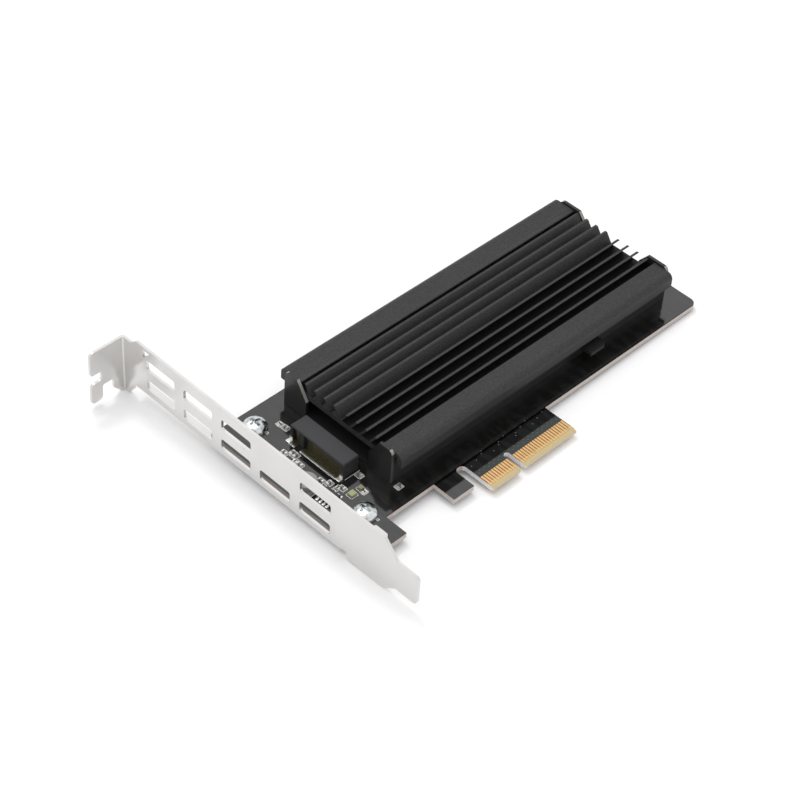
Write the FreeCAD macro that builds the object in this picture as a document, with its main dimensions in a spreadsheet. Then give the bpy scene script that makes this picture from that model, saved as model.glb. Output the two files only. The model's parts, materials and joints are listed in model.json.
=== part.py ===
import FreeCAD, Part
import os
import re
import Sketcher
from FreeCAD import Vector, Placement, Rotation

# Adapter card that carries one slim solid state drive in a four-lane expansion slot.
# Frame: X runs from the bracket's outer face to the card's far end, Y towards the bracket's
# screw flange, and Z is up from the card's component face. Millimetres.

doc = FreeCAD.newDocument("nvme_adapter_card")
sheet = doc.addObject("Spreadsheet::Sheet", "Sizes")

DRIVING = {
    # circuit board
    "board_thick": 1.6, "board_near": 2.0, "far_margin": 6.0, "board_top": -36.5,
    "board_low": -92.2, "foot_drop": 7.9, "foot_far": 16.4, "hook_near": 34.8, "hook_far": 42.9,
    "corner_round": 2.5, "foot_round": 0.3, "via_hole": 3.8,
    # edge connector
    "pin_one": 46.86, "pin_pitch": 1.0, "pin_wide": 0.7, "pin_long": 4.1, "short_pin": 3.2,
    "pin_rise": 5.5, "pin_thick": 0.05, "tongue_side": 0.65, "tongue_drop": 12.2,
    "key_width": 1.9, "key_depth": 7.4, "edge_slope": 1.3, "edge_cut": 0.5, "hook_gap_round": 1.5,
    # bracket
    "sheet_thick": 0.86, "bracket_long": 120.02, "bracket_wide": 18.42, "fold_drop": 0.86,
    "shoulder_drop": 0.84, "bend_inside": 0.5, "flange_out": 12.1, "flange_wide": 20.8,
    "flange_drop": 4.44, "neck_long": 6.6, "neck_rise": 3.1, "low_neck": 2.7, "top_neck": 4.2,
    "tongue_wide": 10.3, "tongue_rise": 2.55, "tongue_long": 7.85, "taper_long": 5.2,
    "low_taper": 4.4, "tongue_round": 1.5, "tongue_top_round": 1.2, "relief_wide": 2.1,
    "relief_deep": 1.2,
    "fold_start": 5.8, "lip_deep": 3.6, "tab_wide": 8.4, "tab_deep": 17.2, "tab_round": 1.5,
    "screw_from_face": 12.9, "first_screw": 42.7, "screw_gap": 44.6,
    "curl_deep": 0.7, "curl_long": 4.8, "curl_round": 0.6,
    "slot_first": 11.16, "slot_pitch": 15.92, "slot_long": 12.1, "slot_tall": 3.94,
    "slot_rise": 2.93, "slot_gap": 3.58, "slot_round": 0.9,
    "notch_wide": 3.4, "notch_deep": 4.0, "notch_low": 7.4, "finger_wide": 4.1,
    "finger_short": 1.5, "finger_slant": 0.7, "relief_gap": 4.1, "relief_top": 5.3,
    "flange_slant": 3.2, "flange_round": 1.6,
    "corner_hole": 3.0, "corner_inset": 1.05,
    # bracket screws
    "head_wide": 7.5, "head_tall": 2.4, "head_round": 0.9, "thread_wide": 3.0, "thread_clear": 0.3,
    "recess_wide": 4.0, "recess_bar": 0.9, "recess_deep": 1.3, "tail_past": 0.8,
    # drive socket
    "socket_middle": -63.1, "socket_near": 17.4, "socket_deep": 5.9,
    "socket_tall": 5.4, "socket_edge": 0.3, "mouth_side": 0.35, "mouth_low": 2.6,
    "mouth_tall": 1.35, "mouth_deep": 4.3, "key_wall": 1.1, "row_clear": 0.31,
    "back_tall": 4.8, "key_clear": 0.21, "back_deep": 1.1, "front_tall": 0.5,
    "contact_pitch": 0.5, "contact_wide": 0.28, "contact_thick": 0.15, "contact_tall": 3.9,
    "tail_long": 1.6, "post_gap": 0.11, "post_wide": 1.25, "post_long": 1.5, "post_thick": 0.2,
    "post_rise": 1.1,
    # cover: extruded heatsink
    "mid_line": -62.2, "cover_near": 27.1, "cover_past": 13.0, "skirt_clear": 0.9,
    "cover_top": 11.6,
    "cover_round": 2.0, "skirt_low": 7.0, "skirt_thick": 1.8, "band_inner": 17.0,
    "floor_top": 8.3, "floor_low": 6.4, "fin_first": 14.6, "fin_pitch": 3.87, "fin_thick": 0.85,
    "fin_lean": 2.5, "fin_root": 0.3, "rail_gap": 0.3,
    # thermal pad
    "pad_thick": 1.4, "pad_wide": 21.0, "pad_inset": 4.0, "pad_far_inset": 6.9,
    # plastic frame under the cover
    "frame_half": 21.6, "wall_thick": 1.5, "wall_tall": 10.0, "base_thick": 0.8,
    "ear_thick": 1.0, "ear_gap": 0.1, "ear_tall": 12.2, "ear_round": 1.5, "ear_inner": 12.6,
    "ear_top_inner": 16.6, "ear_knee": 6.0, "far_ear_inner": 11.0, "far_ear_top_inner": 13.9,
    "far_ear_knee": 8.6, "latch_long": 7.0, "latch_out": 5.0,
    "latch_low": 3.4, "latch_thick": 1.1, "latch_place": 103.7, "latch_round": 1.8,
    "boss_wide": 4.6, "boss_tall": 5.6, "boss_in": 4.4, "boss_off": 3.0, "pilot_wide": 1.6,
    # frame screws from the solder side
    "small_head": 3.6, "small_head_tall": 1.1, "small_shank": 1.5, "small_shank_up": 4.0,
    # drive stand-offs
    "stand_wide": 4.6, "seat_gap": 0.3, "stand_bore": 1.8, "stand_foot": 3.0,
    "stand_reach": 80.0, "stand_far_reach": 110.0, "stand_hole": 3.2,
    # small parts
    "cap_long": 1.6, "cap_wide": 0.8, "cap_tall": 0.8, "end_long": 0.35,
    "chip_res_long": 1.2, "chip_res_wide": 0.7, "chip_res_tall": 0.4,
    "coil_wide": 6.6, "coil_tall": 3.0, "coil_round": 1.2, "coil_base": 0.8, "coil_lid": 0.9,
    "coil_across": 6.3, "coil_waist": 5.0, "coil_x": 7.75, "coil_y": -69.3,
    "driver_x": 9.65, "driver_y": -76.6, "driver_long": 4.9, "driver_wide": 3.9,
    "driver_tall": 1.5, "driver_bevel": 0.25, "leg_pitch": 1.27, "leg_wide": 0.45,
    "leg_out": 1.05, "leg_thick": 0.2,
    "crystal_x": 18.6, "crystal_y": -79.8, "crystal_long": 1.4, "crystal_wide": 1.4,
    "crystal_tall": 0.8, "lamp_long": 1.8, "lamp_wide": 2.0, "lamp_tall": 0.9,
    "lamp_x": 15.2, "lamp_y": -79.9, "side_chip_gap": 2.5,
}

for row, (alias, value) in enumerate(DRIVING.items(), start=1):
    sheet.set("A%d" % row, alias)
    sheet.set("B%d" % row, str(value))
    sheet.setAlias("B%d" % row, alias)

# Sizes that follow from the driving ones, as formulas in the same sheet.
DERIVED = {
    "foot_low": "=board_low - foot_drop",
    "tongue_near": "=pin_one - tongue_side",
    "tongue_far": "=pin_one + 33 * pin_pitch + tongue_side",
    "tongue_low": "=board_low - tongue_drop",
    "pin_top": "=tongue_low + pin_rise",
    "key_middle": "=pin_one + 11.5 * pin_pitch",
    "tab_top": "=-board_thick",
    "panel_low": "=-board_thick - fold_drop",
    "panel_top": "=panel_low + bracket_wide",
    "shoulder_low": "=panel_low - shoulder_drop",
    "flange_low": "=panel_low - flange_drop",
    "flange_top": "=flange_low + flange_wide",
    "tongue_base": "=panel_low + tongue_rise",
    "bend_outside": "=bend_inside + sheet_thick",
    "tongue_start": "=bracket_long - tongue_long",
    "low_taper_start": "=tongue_start - low_taper",
    "screw_one": "=-first_screw",
    "screw_two": "=-first_screw - screw_gap",
    "fold_end": "=first_screw + screw_gap + tab_wide / 2",
    "relief_end": "=fold_end + relief_wide",
    "slot_low": "=panel_low + slot_rise",
    "slot_high": "=slot_low + slot_tall + slot_gap",
    "row_wide": "=37 * contact_pitch + contact_wide",
    "key_off": "=12 * contact_pitch",
    "back_wide": "=row_wide + 2 * row_clear",
    "back_key": "=5 * contact_pitch - contact_wide - 2 * key_clear",
    "mouth_wide": "=back_wide + 2 * mouth_side",
    "socket_wide": "=row_wide + 2 * (post_gap + post_wide)",
    "socket_far": "=socket_near + socket_deep",
    "stand_one": "=socket_far - mouth_deep + stand_reach",
    "stand_two": "=socket_far - mouth_deep + stand_far_reach",
    "stand_tall": "=mouth_low + seat_gap",
    "cover_far": "=stand_two + cover_past",
    "cover_long": "=cover_far - cover_near",
    "cover_half": "=frame_half + skirt_clear + skirt_thick",
    "ear_near": "=cover_near - ear_gap - ear_thick",
    "frame_far": "=cover_far + ear_gap + ear_thick",
    "board_far": "=frame_far + far_margin",
    "pad_low": "=floor_low - pad_thick",
    "boss_near": "=ear_near + boss_in",
    "boss_far": "=frame_far - boss_in",
    "boss_side": "=frame_half - boss_off",
}
first_row = len(DRIVING) + 1
for row, (alias, formula) in enumerate(DERIVED.items(), start=first_row):
    sheet.set("A%d" % row, alias)
    sheet.set("B%d" % row, formula)
    sheet.setAlias("B%d" % row, alias)
doc.recompute()

NAMES = set(DRIVING) | set(DERIVED)


def linked(expression):
    """The expression with each size's name pointed at the sheet."""
    def point(match):
        word = match.group(0)
        return "Sizes." + word if word in NAMES else word
    return re.sub(r"[a-z][a-z_]*", point, str(expression))


def val(expression):
    """The number that an expression of sizes gives now."""
    return float(sheet.evalExpression(linked(expression)))


def bind(obj, **properties):
    """Bind each property of an object to an expression of sizes."""
    for name, expression in properties.items():
        obj.setExpression(name, linked(expression))


def put(obj, x="0", y="0", z="0"):
    """Bind an object's place to three expressions."""
    for axis, expression in (("x", x), ("y", y), ("z", z)):
        obj.setExpression(".Placement.Base." + axis, linked(expression))


# ---- sketch and feature helpers -------------------------------------------------------------

def new_body(label):
    body = doc.addObject("PartDesign::Body", label)
    body.Label = label
    return body


def new_sketch(body, plane, offset="0"):
    """A sketch on one of the body's own origin planes, moved along its normal by offset."""
    sketch = body.newObject("Sketcher::SketchObject", body.Label + "_sketch")
    support = [f for f in body.Origin.OriginFeatures if f.Role == plane][0]
    sketch.AttachmentSupport = [(support, "")]
    sketch.MapMode = "FlatFace"
    sketch.setExpression(".AttachmentOffset.Base.z", linked(offset))
    return sketch


def outline(sketch, points):
    """A closed outline whose every corner is bound to a pair of expressions."""
    spots = [Vector(val(u), val(v), 0) for u, v in points]
    first = sketch.GeometryCount
    count = len(spots)
    lines = [Part.LineSegment(spots[i], spots[(i + 1) % count]) for i in range(count)]
    sketch.addGeometry(lines, False)
    joins = []
    for i in range(count):
        joins.append(Sketcher.Constraint("Coincident", first + i, 2, first + (i + 1) % count, 1))
    sketch.addConstraint(joins)
    for i, (u, v) in enumerate(points):
        for kind, expression, amount in (("DistanceX", u, spots[i].x), ("DistanceY", v, spots[i].y)):
            number = sketch.addConstraint(Sketcher.Constraint(kind, -1, 1, first + i, 1, amount))
            sketch.setExpression("Constraints[%d]" % number, linked(expression))


def box_outline(sketch, u_low, u_high, v_low, v_high):
    outline(sketch, [(u_low, v_low), (u_high, v_low), (u_high, v_high), (u_low, v_high)])


def circle(sketch, u, v, across):
    number = sketch.addGeometry(Part.Circle(Vector(val(u), val(v), 0), Vector(0, 0, 1),
                                            val(across) / 2), False)
    for kind, expression in (("DistanceX", u), ("DistanceY", v)):
        index = sketch.addConstraint(Sketcher.Constraint(kind, -1, 1, number, 3, val(expression)))
        sketch.setExpression("Constraints[%d]" % index, linked(expression))
    index = sketch.addConstraint(Sketcher.Constraint("Diameter", number, val(across)))
    sketch.setExpression("Constraints[%d]" % index, linked(across))


def feature(body, kind, sketch, length, **properties):
    """A pad or pocket of the sketch, its length bound to an expression."""
    made = body.newObject("PartDesign::" + kind, body.Label + "_" + kind.lower())
    made.Profile = sketch
    bind(made, Length=length)
    for name, value in properties.items():
        setattr(made, name, value)
    sketch.Visibility = False
    doc.recompute()
    return made


def pad(body, sketch, length, **properties):
    return feature(body, "Pad", sketch, length, **properties)


def pocket(body, sketch, length, **properties):
    """A pocket that must take something away."""
    before = body.Shape.Volume
    made = feature(body, "Pocket", sketch, length, **properties)
    if not body.Shape.Volume < before - 1e-4:
        raise RuntimeError("pocket cuts nothing in " + body.Label)
    return made


def edges_at(shape, spots):
    """Names of the straight edges whose ends both lie at one of the spots (None is any)."""
    found = []
    for number, edge in enumerate(shape.Edges, start=1):
        ends = [vertex.Point for vertex in edge.Vertexes]
        if len(ends) != 2:
            continue
        for spot in spots:
            if all(want is None or abs(end[axis] - want) < 1e-3
                   for end in ends for axis, want in enumerate(spot)):
                found.append("Edge%d" % number)
                break
    return found


def dress(body, kind, spots, **sizes):
    """A fillet or chamfer on the edges at the spots, each spot a triple of expressions."""
    wanted = [tuple(None if part is None else val(part) for part in spot) for spot in spots]
    base = body.Tip
    names = edges_at(base.Shape, wanted)
    if not names:
        raise RuntimeError("no edge to dress in " + body.Label)
    made = body.newObject("PartDesign::" + kind, body.Label + "_" + kind.lower())
    made.Base = (base, names)
    bind(made, **sizes)
    doc.recompute()
    return made


def round_edges(body, spots, radius):
    return dress(body, "Fillet", spots, Radius=radius)


def bevel_edges(body, spots, size):
    return dress(body, "Chamfer", spots, Size=size)


def block(label, x_low, x_high, y_low, y_high, z_low, z_high):
    """A Part box between six expressions."""
    made = doc.addObject("Part::Box", label)
    bind(made, Length="(%s) - (%s)" % (x_high, x_low), Width="(%s) - (%s)" % (y_high, y_low),
         Height="(%s) - (%s)" % (z_high, z_low))
    put(made, x_low, y_low, z_low)
    return made


def cylinder(label, across, x, y, z_low, z_high):
    made = doc.addObject("Part::Cylinder", label)
    bind(made, Radius="(%s) / 2" % across, Height="(%s) - (%s)" % (z_high, z_low))
    put(made, x, y, z_low)
    return made


def grouped(label, shapes):
    """Separate solids that share one name, such as a set of identical fasteners."""
    made = doc.addObject("Part::Compound", label)
    made.Label = label
    made.Links = shapes
    return made


# ---- circuit board --------------------------------------------------------------------------

def circuit_board():
    body = new_body("circuit_board")
    sketch = new_sketch(body, "XY_Plane")
    outline(sketch, [
        ("board_near", "board_top"), ("board_far", "board_top"), ("board_far", "board_low"),
        ("tongue_far", "board_low"), ("tongue_far", "tongue_low"),
        ("tongue_near", "tongue_low"), ("tongue_near", "board_low"),
        ("hook_far", "board_low"), ("hook_far", "foot_low"), ("hook_near", "foot_low"),
        ("hook_near", "board_low"), ("foot_far", "board_low"), ("foot_far", "foot_low"),
        ("board_near", "foot_low")])
    pad(body, sketch, "board_thick", Reversed=True)
    round_edges(body, [("board_far", "board_top", None), ("board_far", "board_low", None)],
                "corner_round")
    round_edges(body, [("hook_far", "foot_low", None), ("hook_near", "foot_low", None),
                       ("foot_far", "foot_low", None)], "foot_round")
    round_edges(body, [("hook_far", "board_low", None), ("tongue_near", "board_low", None)],
                "hook_gap_round")
    bevel_tongue(body)
    key = new_sketch(body, "XY_Plane")
    box_outline(key, "key_middle - key_width / 2", "key_middle + key_width / 2",
                "tongue_low - 1", "tongue_low + key_depth - key_width / 2")
    pocket(body, key, "board_thick")
    root = new_sketch(body, "XY_Plane")
    circle(root, "key_middle", "tongue_low + key_depth - key_width / 2", "key_width")
    pocket(body, root, "board_thick")
    holes = new_sketch(body, "XY_Plane")
    for y in ("screw_one", "screw_two"):
        circle(holes, "screw_from_face", y, "via_hole")
    for x in ("stand_one", "stand_two"):
        circle(holes, x, "socket_middle", "stand_hole")
    for x in ("boss_near", "boss_far"):
        for side in ("+", "-"):
            circle(holes, x, "mid_line %s boss_side" % side, "small_shank + thread_clear")
    pocket(body, holes, "board_thick")


def bevel_tongue(body):
    """Both long edges of the tongue are ground to a slope that leads it into its slot."""
    for z, sign in (("0", "-"), ("-board_thick", "+")):
        cut = new_sketch(body, "YZ_Plane", "tongue_near - 1")
        outline(cut, [("tongue_low - 1", "%s" % z), ("tongue_low + edge_slope", "%s" % z),
                      ("tongue_low", "%s %s edge_cut" % (z, sign)),
                      ("tongue_low - 1", "%s %s edge_cut" % (z, sign))])
        pocket(body, cut, "tongue_far - tongue_near + 2", Reversed=True)


def edge_contacts(label, z_low, z_high, short_pins):
    """The gold fingers of one face, one at each pitch apart from the key's two."""
    fingers = []
    for number in range(1, 33):
        place = number - 1 if number <= 11 else number + 1
        length = "short_pin" if number in short_pins else "pin_long"
        middle = "pin_one + %d * pin_pitch" % place
        fingers.append(block("%s_finger" % label, middle + " - pin_wide / 2",
                             middle + " + pin_wide / 2", "pin_top - " + length, "pin_top",
                             z_low, z_high))
    grouped(label, fingers)


# ---- bracket --------------------------------------------------------------------------------

def bracket():
    """One folded sheet: slotted panel, screw flange, tongue, and a lip with two screw tabs."""
    body = new_body("io_bracket")
    panel = new_sketch(body, "YZ_Plane")
    outline(panel, [
        ("0", "flange_top"), ("-top_neck", "flange_top"), ("-neck_long", "panel_top"),
        ("taper_long - tongue_start", "panel_top"),
        ("-tongue_start", "tongue_base + tongue_wide"),
        ("-bracket_long", "tongue_base + tongue_wide"), ("-bracket_long", "tongue_base"),
        ("-tongue_start", "tongue_base"), ("-low_taper_start", "shoulder_low"),
        ("-relief_end", "shoulder_low"), ("-relief_end", "tab_top + relief_deep / 2"),
        ("-fold_end", "tab_top + relief_deep / 2"), ("-fold_end", "panel_low"),
        ("-fold_start", "panel_low"), ("-fold_start", "tab_top + relief_deep / 2"),
        ("sheet_thick - fold_start", "tab_top + relief_deep / 2"),
        ("sheet_thick - fold_start", "flange_low + neck_rise"),
        ("-low_neck", "flange_low"), ("0", "flange_low")])
    pad(body, panel, "sheet_thick")
    flange = new_sketch(body, "XZ_Plane")
    outline(flange, [
        ("sheet_thick", "flange_top"), ("-flange_out", "flange_top"),
        ("-flange_out", "flange_low + notch_low + notch_wide + finger_short"),
        ("notch_deep - flange_out", "flange_low + notch_low + notch_wide + finger_short"),
        ("notch_deep - flange_out", "flange_low + notch_low + finger_short"),
        ("-flange_out", "flange_low + notch_low + finger_short"),
        ("-flange_out", "flange_low + finger_short + finger_slant"),
        ("finger_slant - flange_out", "flange_low + finger_short"),
        ("finger_wide - flange_out", "flange_low + finger_short"),
        ("finger_wide - flange_out", "flange_low + finger_short + relief_top"),
        ("finger_wide + relief_gap - flange_out", "flange_low + finger_short + relief_top"),
        ("finger_wide + relief_gap - flange_out", "flange_low + flange_slant"),
        ("-sheet_thick", "flange_low"), ("sheet_thick", "flange_low")])
    pad(body, flange, "sheet_thick")
    lip = new_sketch(body, "XY_Plane", "panel_low")
    outline(lip, [("0", "-fold_start"), ("lip_deep", "-fold_start"),
                  ("lip_deep", "screw_one + tab_wide / 2"),
                  ("tab_deep", "screw_one + tab_wide / 2"),
                  ("tab_deep", "screw_one - tab_wide / 2"),
                  ("lip_deep", "screw_one - tab_wide / 2"),
                  ("lip_deep", "screw_two + tab_wide / 2"),
                  ("tab_deep", "screw_two + tab_wide / 2"),
                  ("tab_deep", "-fold_end"), ("0", "-fold_end")])
    pad(body, lip, "fold_drop")
    curl = new_sketch(body, "XY_Plane", "panel_top - sheet_thick")
    box_outline(curl, "0", "sheet_thick + curl_deep",
                "taper_long - tongue_start", "taper_long - tongue_start + curl_long")
    pad(body, curl, "sheet_thick")
    bracket_slots(body)
    holes = new_sketch(body, "XY_Plane", "panel_low")
    for y in ("screw_one", "screw_two"):
        circle(holes, "screw_from_face", y, "thread_wide")
    pocket(body, holes, "fold_drop", Reversed=True)
    bracket_rounds(body)


def bracket_slots(body):
    """Two rows of vent slots: the upper row misses the fourth place."""
    cut = new_sketch(body, "YZ_Plane")
    corners = []
    for low, places in (("slot_low", (0, 1, 2, 3, 4)), ("slot_high", (0, 1, 2, 4))):
        for place in places:
            start = "-slot_first - %d * slot_pitch" % place
            box_outline(cut, start + " - slot_long", start, low, low + " + slot_tall")
            for y in (start, start + " - slot_long"):
                for z in (low, low + " + slot_tall"):
                    corners.append((None, y, z))
    peak = "-neck_long - corner_hole"
    outline(cut, [(peak, "panel_top - corner_inset"),
                  (peak + " - corner_hole", "panel_top - corner_inset"),
                  (peak, "panel_top - corner_inset - corner_hole")])
    pocket(body, cut, "sheet_thick", Reversed=True)
    round_edges(body, corners, "slot_round")


def bracket_rounds(body):
    """Bends get their inner and outer radius, and the sheet's corners are eased."""
    round_edges(body, [("0", "-sheet_thick", None)], "bend_inside")
    round_edges(body, [("sheet_thick", "0", None)], "bend_outside")
    round_edges(body, [("sheet_thick", None, "tab_top")], "bend_inside")
    round_edges(body, [("0", None, "panel_low")], "bend_outside - 0.5 * bend_inside")
    round_edges(body, [(None, "-bracket_long", "tongue_base")], "tongue_round")
    round_edges(body, [(None, "-bracket_long", "tongue_base + tongue_wide")],
                "tongue_top_round")
    round_edges(body, [("tab_deep", "screw_one + tab_wide / 2", None),
                       ("tab_deep", "screw_one - tab_wide / 2", None),
                       ("tab_deep", "screw_two + tab_wide / 2", None),
                       ("tab_deep", "-fold_end", None)], "tab_round")
    curl_edge = "taper_long - tongue_start"
    round_edges(body, [("sheet_thick + curl_deep", curl_edge, None),
                       ("sheet_thick + curl_deep", curl_edge + " + curl_long", None)],
                "curl_round")
    notch = "flange_low + notch_low + finger_short"
    round_edges(body, [("-flange_out", None, "flange_top"), ("-flange_out", None, notch),
                       ("finger_wide - flange_out", None, "flange_low + finger_short")],
                "flange_round")
    round_edges(body, [("-flange_out", None, notch + " + notch_wide"),
                       ("notch_deep - flange_out", None, notch),
                       ("notch_deep - flange_out", None, notch + " + notch_wide"),
                       ("finger_wide - flange_out", None, "flange_low + finger_short + relief_top"),
                       ("finger_wide + relief_gap - flange_out", None,
                        "flange_low + finger_short + relief_top")], "slot_round")


def bracket_screws():
    """Two pan head screws, each with a cross recess, through the board into the tabs."""
    screws = []
    for y in ("screw_one", "screw_two"):
        head = cylinder("bracket_screw_head", "head_wide", "screw_from_face", y, "0", "head_tall")
        eased = doc.addObject("Part::Chamfer", "bracket_screw_crown")
        eased.Base = head
        doc.recompute()
        rim = [number for number, edge in enumerate(head.Shape.Edges, start=1)
               if edge.BoundBox.ZMin > val("head_tall") - 1e-6]
        eased.Edges = [(number, val("head_round"), val("head_round")) for number in rim]
        shank = cylinder("bracket_screw_shank", "thread_wide", "screw_from_face", y,
                         "panel_low - tail_past", "head_tall / 2")
        whole = doc.addObject("Part::MultiFuse", "bracket_screw_whole")
        whole.Shapes = [eased, shank]
        bars = []
        for along, across in (("recess_wide", "recess_bar"), ("recess_bar", "recess_wide")):
            bars.append(block("bracket_screw_bar", "screw_from_face - %s / 2" % along,
                              "screw_from_face + %s / 2" % along, "%s - %s / 2" % (y, across),
                              "%s + %s / 2" % (y, across), "head_tall - recess_deep",
                              "head_tall + 1"))
        cross = doc.addObject("Part::MultiFuse", "bracket_screw_cross")
        cross.Shapes = bars
        screw = doc.addObject("Part::Cut", "bracket_screw")
        screw.Base = whole
        screw.Tool = cross
        screws.append(screw)
    grouped("bracket_screws", screws)


# ---- drive socket ---------------------------------------------------------------------------

def socket_housing():
    body = new_body("drive_socket_housing")
    put(body, "socket_near", "socket_middle", "0")
    base = new_sketch(body, "XY_Plane")
    box_outline(base, "0", "socket_deep", "-socket_wide / 2", "socket_wide / 2")
    pad(body, base, "socket_tall")
    bevel_edges(body, [("0", None, "socket_tall"), (None, "socket_wide / 2", "socket_tall"),
                       (None, "-socket_wide / 2", "socket_tall")], "socket_edge")
    mouth = new_sketch(body, "YZ_Plane", "socket_deep")
    low, high = "mouth_low", "mouth_low + mouth_tall"
    box_outline(mouth, "-mouth_wide / 2", "key_off - key_wall / 2", low, high)
    box_outline(mouth, "key_off + key_wall / 2", "mouth_wide / 2", low, high)
    pocket(body, mouth, "mouth_deep")
    back = new_sketch(body, "YZ_Plane")
    box_outline(back, "-back_wide / 2", "key_off - back_key / 2", "0", "back_tall")
    box_outline(back, "key_off + back_key / 2", "back_wide / 2", "0", "back_tall")
    pocket(body, back, "back_deep", Reversed=True)
    front = new_sketch(body, "YZ_Plane", "socket_deep")
    box_outline(front, "-back_wide / 2", "back_wide / 2", "0", "front_tall")
    pocket(body, front, "back_deep")


def socket_contacts():
    """Bent spring contacts, one row to each face of the drive, with the key's four missing."""
    springs = []
    for place in range(38):
        if place in range(5, 9):
            continue
        middle = "socket_middle + %.2f * contact_pitch" % (18.5 - place)
        low, high = middle + " - contact_wide / 2", middle + " + contact_wide / 2"
        tail = block("socket_tail", "socket_near - tail_long",
                     "socket_near + back_deep", low, high, "0", "contact_thick")
        riser = block("socket_riser", "socket_near + back_deep - contact_thick",
                      "socket_near + back_deep", low, high, "0", "contact_tall")
        spring = doc.addObject("Part::MultiFuse", "socket_contact")
        spring.Shapes = [tail, riser]
        springs.append(spring)
    grouped("socket_back_contacts", springs)
    tails = []
    for place in range(37):
        if place in range(5, 9):
            continue
        middle = "socket_middle + %.2f * contact_pitch" % (18.0 - place)
        tails.append(block("socket_front_tail", "socket_far - back_deep", "socket_far + post_thick",
                           middle + " - contact_wide / 2", middle + " + contact_wide / 2",
                           "0", "contact_thick"))
    grouped("socket_front_contacts", tails)


def socket_posts():
    """Two folded metal hold-downs that solder the socket's back corners to the board."""
    posts = []
    for side in (1, -1):
        edge = "socket_middle + %d * (socket_wide / 2)" % side
        inner = "socket_middle + %d * (socket_wide / 2 - post_wide)" % side
        low, high = (inner, edge) if side > 0 else (edge, inner)
        foot = block("socket_post_foot", "socket_near - post_long", "socket_near",
                     low, high, "0", "post_thick")
        riser = block("socket_post_riser", "socket_near - post_thick", "socket_near",
                      low, high, "0", "post_rise")
        post = doc.addObject("Part::MultiFuse", "socket_post")
        post.Shapes = [foot, riser]
        posts.append(post)
    grouped("socket_hold_downs", posts)


# ---- cover, pad and frame -------------------------------------------------------------------

def heatsink():
    """One extruded length: side bands with skirts, and two mirrored sets of leaning fins."""
    body = new_body("heatsink_cover")
    put(body, "cover_near", "mid_line", "0")
    profile = new_sketch(body, "YZ_Plane")
    inner = "cover_half - skirt_thick"
    rail = "frame_half - wall_thick - rail_gap"
    half = [("cover_half", "skirt_low"), ("cover_half", "cover_top"),
            ("band_inner", "cover_top"), ("band_inner", "floor_top")]
    under = [(rail, "floor_low"), (rail, "wall_tall"), (inner, "wall_tall"), (inner, "skirt_low")]
    other = [("-(%s)" % y, z) for y, z in reversed(half)]
    beneath = [("-(%s)" % y, z) for y, z in reversed(under)]
    outline(profile, half + other + beneath + under)
    pad(body, profile, "cover_long")
    round_edges(body, [(None, "cover_half", "cover_top"), (None, "-cover_half", "cover_top")],
                "cover_round")
    fins = new_sketch(body, "YZ_Plane")
    for number in range(4):
        tip = "fin_first - %d * fin_pitch" % number
        root = tip + " - fin_lean"
        outline(fins, [(root, "floor_top - fin_root"), (tip, "cover_top"),
                       (tip + " - fin_thick", "cover_top"),
                       (root + " - fin_thick", "floor_top - fin_root")])
    made = pad(body, fins, "cover_long")
    mirror = body.newObject("PartDesign::Mirrored", "heatsink_mirror")
    mirror.Originals = [made]
    plane = [f for f in body.Origin.OriginFeatures if f.Role == "XZ_Plane"][0]
    mirror.MirrorPlane = (plane, [""])
    body.Tip = mirror
    doc.recompute()


def thermal_pad():
    made = block("thermal_pad", "cover_near + pad_inset", "cover_far - pad_far_inset",
                 "socket_middle - pad_wide / 2", "socket_middle + pad_wide / 2",
                 "pad_low", "floor_low")
    made.Label = "thermal_pad"


def base_frame():
    """Moulded frame: thin floor, two side walls, four end ears, a latch and four bosses."""
    body = new_body("base_frame")
    put(body, "ear_near", "mid_line", "0")
    length = "frame_far - ear_near"
    floor = new_sketch(body, "XY_Plane")
    box_outline(floor, "0", length, "-frame_half", "frame_half")
    pad(body, floor, "base_thick")
    walls = new_sketch(body, "XY_Plane")
    for low, high in (("-frame_half", "wall_thick - frame_half"),
                      ("frame_half - wall_thick", "frame_half")):
        box_outline(walls, "0", length, low, high)
    pad(body, walls, "wall_tall")
    for place, end in (("0", ""), (length + " - ear_thick", "far_")):
        ears = new_sketch(body, "YZ_Plane", place)
        for side in ("", "-"):
            top, low = side + end + "ear_top_inner", side + end + "ear_inner"
            outline(ears, [(side + "frame_half", "0"), (side + "frame_half", "ear_tall"),
                           (top, "ear_tall"), (low, end + "ear_knee"), (low, "0")])
        pad(body, ears, "ear_thick")
    round_edges(body, [(None, "frame_half", "ear_tall"), (None, "-frame_half", "ear_tall")],
                "ear_round")
    frame_latches(body)
    bosses = new_sketch(body, "XY_Plane")
    pilots = new_sketch(body, "XY_Plane")
    for x in ("boss_near - ear_near", "boss_far - ear_near"):
        for side in ("", "-"):
            circle(bosses, x, side + "boss_side", "boss_wide")
            circle(pilots, x, side + "boss_side", "pilot_wide")
    pad(body, bosses, "boss_tall")
    for x in ("stand_one - ear_near", "stand_two - ear_near"):
        circle(pilots, x, "socket_middle - mid_line", "stand_wide + 2 * thread_clear")
    pocket(body, pilots, "small_shank_up + thread_clear", Reversed=True)


def frame_latches(body):
    """A finger tab on each long side, below the cover's skirt, that lets the cover go."""
    tabs = new_sketch(body, "XY_Plane", "latch_low")
    near = "latch_place - ear_near"
    far = near + " + latch_long"
    corners = []
    for side in ("", "-"):
        outline(tabs, [(near, side + "(frame_half - wall_thick / 2)"),
                       (near, side + "(frame_half + latch_out)"),
                       (far, side + "(frame_half + latch_out)"),
                       (far, side + "(frame_half - wall_thick / 2)")])
        corners.append((far, side + "(frame_half + latch_out)", None))
    pad(body, tabs, "latch_thick")
    round_edges(body, corners, "latch_round")


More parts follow.
